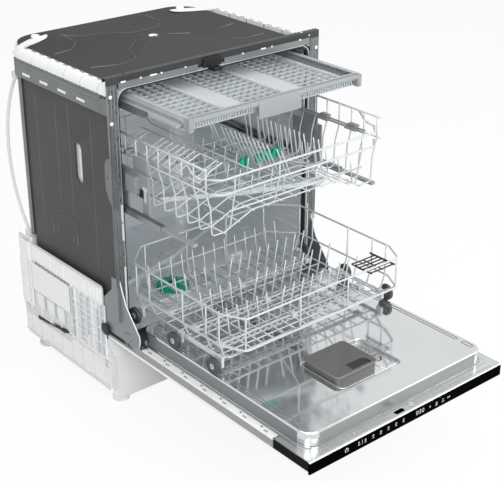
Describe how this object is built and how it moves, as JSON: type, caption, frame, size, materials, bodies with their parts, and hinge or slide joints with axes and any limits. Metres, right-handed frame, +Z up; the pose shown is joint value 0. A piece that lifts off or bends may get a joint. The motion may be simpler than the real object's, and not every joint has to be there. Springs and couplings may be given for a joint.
{
  "type": "integrated dishwasher",
  "caption": "Built-in dishwasher standing free, its door open on a bottom hinge and its racks drawn out of a steel tub.",
  "frame": {"origin": "on the floor, under the middle of the whole width and depth with the door open", "axes": "+X to the machine's left as seen from behind the door, which is the viewer's right from the front; +Y from the front to the back; +Z up"},
  "size_m": [0.598, 1.113, 0.815],
  "materials": {
    "stainless": "brushed stainless sheet",
    "zinc_sheet": "zinc coated sheet, dull",
    "bracket_steel": "blue-grey coated sheet",
    "mat": "bitumen damping mat, matt",
    "white_plastic": "white moulded plastic",
    "black_rubber": "soft black rubber",
    "black_plastic": "black moulded plastic",
    "hose_plastic": "light translucent hose",
    "dark_plastic": "dark grey moulded plastic",
    "grey_plastic": "mid grey moulded plastic",
    "light_plastic": "light grey moulded plastic",
    "teal_plastic": "teal moulded plastic",
    "ballast": "rough cast block",
    "coated_wire": "light grey coated steel wire",
    "rail_steel": "zinc coated rail",
    "door_sheet": "grey sheet",
    "fascia_black": "gloss black with a display window",
    "axle_steel": "plain steel"
  },
  "bodies": {
    "cabinet": {"tub": "stainless", "front_columns": "zinc_sheet", "top_crossbar": "zinc_sheet", "hinge_brackets": "bracket_steel", "wall_mats": "mat", "top_mat": "mat", "edge_rails": "white_plastic", "side_channels": "zinc_sheet", "rear_strips": "zinc_sheet", "spring_rods": "black_rubber", "bowed_hose": "hose_plastic", "door_seal": "black_rubber", "door_lock": "black_plastic", "column_plugs": "white_plastic", "base_tray": "white_plastic", "plinth": "white_plastic", "levelling_feet": "dark_plastic", "sump": "dark_plastic", "circulation_pump": "dark_plastic", "drain_pump": "dark_plastic", "softener": "white_plastic", "inlet_valve": "white_plastic", "water_pipes": "light_plastic", "counterweight": "ballast", "fine_filter": "stainless", "middle_rail_outer": "rail_steel", "tray_rail_outer": "rail_steel"},
    "door": {"door_outer": "door_sheet", "door_inner": "stainless", "door_trims": "white_plastic", "control_housing": "dark_plastic", "control_fascia": "fascia_black", "hinge_arms": "zinc_sheet", "dispenser": "grey_plastic"},
    "dispenser_lid": {"dispenser_lid": "grey_plastic"},
    "rinse_cap": {"rinse_cap": "grey_plastic"},
    "third_stage": {"tray_rail_stage": "rail_steel"},
    "third_rack": {"third_tray": "light_plastic", "tray_handle": "light_plastic"},
    "middle_stage": {"middle_rail_stage": "rail_steel"},
    "middle_carriers": {"side_carriers": "light_plastic"},
    "middle_rack": {"middle_basket": "coated_wire"},
    "middle_arm": {"middle_arm": "light_plastic"},
    "middle_tines_left": {"middle_tines_left": "coated_wire"},
    "middle_tines_right": {"middle_tines_right": "coated_wire"},
    "cup_shelf": {"cup_shelf": "light_plastic"},
    "front_axle": {"lower_axles": "axle_steel"},
    "lower_rack": {"lower_basket": "coated_wire", "tine_holders": "grey_plastic"},
    "front_wheels": {"front_wheels": "dark_plastic"},
    "middle_wheels": {"middle_wheels": "dark_plastic"},
    "rear_wheels": {"rear_wheels": "dark_plastic"},
    "lower_tines_front": {"lower_tines_front": "coated_wire"},
    "lower_tines_middle": {"lower_tines_middle": "coated_wire"},
    "lower_tines_rear": {"lower_tines_rear": "coated_wire"},
    "glass_rest": {"glass_rest": "black_plastic"},
    "lower_arm": {"lower_arm": "light_plastic"},
    "top_arm": {"top_arm": "light_plastic"},
    "filter_cup": {"filter_cup": "teal_plastic"},
    "salt_cap": {"salt_cap": "white_plastic"}
  },
  "joints": [
    {"name": "door_hinge", "type": "hinge", "parent": "cabinet", "child": "door", "pos_m": [0, 0.0535, 0.193], "axis": [-1, 0, 0], "range_deg": [0, 90]},
    {"name": "third_slide", "type": "slide", "parent": "cabinet", "child": "third_rack", "axis": [0, 1, 0], "range_m": [0, 0.2375]},
    {"name": "third_stage_slide", "type": "slide", "parent": "cabinet", "child": "third_stage", "axis": [0, 1, 0], "range_m": [0, 0.119]},
    {"name": "middle_slide", "type": "slide", "parent": "cabinet", "child": "middle_carriers", "axis": [0, 1, 0], "range_m": [0, 0.3285]},
    {"name": "middle_stage_slide", "type": "slide", "parent": "cabinet", "child": "middle_stage", "axis": [0, 1, 0], "range_m": [0, 0.1645]},
    {"name": "middle_lift", "type": "slide", "parent": "middle_carriers", "child": "middle_rack", "axis": [0, 0, 1], "range_m": [0, 0.04]},
    {"name": "middle_arm_spin", "type": "hinge", "parent": "middle_rack", "child": "middle_arm", "pos_m": [0, -0.0015, 0.506], "axis": [0, 0, 1], "continuous": true},
    {"name": "middle_tines_left_fold", "type": "hinge", "parent": "middle_rack", "child": "middle_tines_left", "pos_m": [0.04, 0.0665, 0.5662], "axis": [0, 1, 0], "range_deg": [0, 80]},
    {"name": "middle_tines_right_fold", "type": "hinge", "parent": "middle_rack", "child": "middle_tines_right", "pos_m": [0.128, 0.0665, 0.5662], "axis": [0, 1, 0], "range_deg": [0, 80]},
    {"name": "cup_shelf_fold", "type": "hinge", "parent": "middle_rack", "child": "cup_shelf", "pos_m": [-0.227, 0.0665, 0.634], "axis": [0, -1, 0], "range_deg": [-25, 33]},
    {"name": "lower_roll", "type": "slide", "parent": "door", "child": "front_axle", "axis": [0, 0.9739, 0.2268], "range_m": [0, 0.22803]},
    {"name": "lower_level", "type": "hinge", "parent": "front_axle", "child": "lower_rack", "pos_m": [0, -0.2275, 0.2524], "axis": [1, 0, 0], "range_deg": [0, 90]},
    {"name": "front_wheel_spin", "type": "hinge", "parent": "lower_rack", "child": "front_wheels", "pos_m": [0, -0.2275, 0.2524], "axis": [-1, 0, 0], "range_deg": [0, 660]},
    {"name": "middle_wheel_spin", "type": "hinge", "parent": "lower_rack", "child": "middle_wheels", "pos_m": [0, -0.0885, 0.2524], "axis": [-1, 0, 0], "range_deg": [0, 660]},
    {"name": "rear_wheel_spin", "type": "hinge", "parent": "lower_rack", "child": "rear_wheels", "pos_m": [0, 0.0585, 0.2524], "axis": [-1, 0, 0], "range_deg": [0, 660]},
    {"name": "lower_tines_front_fold", "type": "hinge", "parent": "lower_rack", "child": "lower_tines_front", "pos_m": [0, -0.1885, 0.2682], "axis": [-1, 0, 0], "range_deg": [0, 85]},
    {"name": "lower_tines_middle_fold", "type": "hinge", "parent": "lower_rack", "child": "lower_tines_middle", "pos_m": [0, -0.0965, 0.2682], "axis": [-1, 0, 0], "range_deg": [0, 85]},
    {"name": "lower_tines_rear_fold", "type": "hinge", "parent": "lower_rack", "child": "lower_tines_rear", "pos_m": [0, -0.0045, 0.2682], "axis": [-1, 0, 0], "range_deg": [0, 85]},
    {"name": "glass_rest_fold", "type": "hinge", "parent": "lower_rack", "child": "glass_rest", "pos_m": [0.242, 0.0665, 0.344], "axis": [0, 1, 0], "range_deg": [0, 70]},
    {"name": "lid_slide", "type": "slide", "parent": "door", "child": "dispenser_lid", "axis": [1, 0, 0], "range_m": [0, 0.09]},
    {"name": "rinse_cap_turn", "type": "hinge", "parent": "door", "child": "rinse_cap", "pos_m": [0.054, -0.3955, 0.226], "axis": [0, 0, 1], "range_deg": [0, 90]},
    {"name": "lower_arm_spin", "type": "hinge", "parent": "cabinet", "child": "lower_arm", "pos_m": [0, 0.2945, 0.238], "axis": [0, 0, 1], "continuous": true},
    {"name": "top_arm_spin", "type": "hinge", "parent": "cabinet", "child": "top_arm", "pos_m": [0, 0.2945, 0.773], "axis": [0, 0, 1], "continuous": true},
    {"name": "filter_turn", "type": "hinge", "parent": "cabinet", "child": "filter_cup", "pos_m": [-0.06, 0.1865, 0.212], "axis": [0, 0, 1], "range_deg": [0, 90]},
    {"name": "salt_cap_turn", "type": "hinge", "parent": "cabinet", "child": "salt_cap", "pos_m": [0.165, 0.2165, 0.212], "axis": [0, 0, 1], "range_deg": [0, 180]}
  ],
  "couplings": [
    {"joint": "third_slide", "follows": "door_hinge", "m_per_rad": 0.15088},
    {"joint": "third_stage_slide", "follows": "door_hinge", "m_per_rad": 0.075439},
    {"joint": "middle_slide", "follows": "door_hinge", "m_per_rad": 0.20881},
    {"joint": "middle_stage_slide", "follows": "door_hinge", "m_per_rad": 0.10441},
    {"joint": "lower_roll", "follows": "door_hinge", "m_per_rad": 0.14485},
    {"joint": "lower_level", "follows": "door_hinge", "ratio": 1},
    {"joint": "front_wheel_spin", "follows": "door_hinge", "ratio": 7.243},
    {"joint": "middle_wheel_spin", "follows": "door_hinge", "ratio": 7.243},
    {"joint": "rear_wheel_spin", "follows": "door_hinge", "ratio": 7.243}
  ]
}
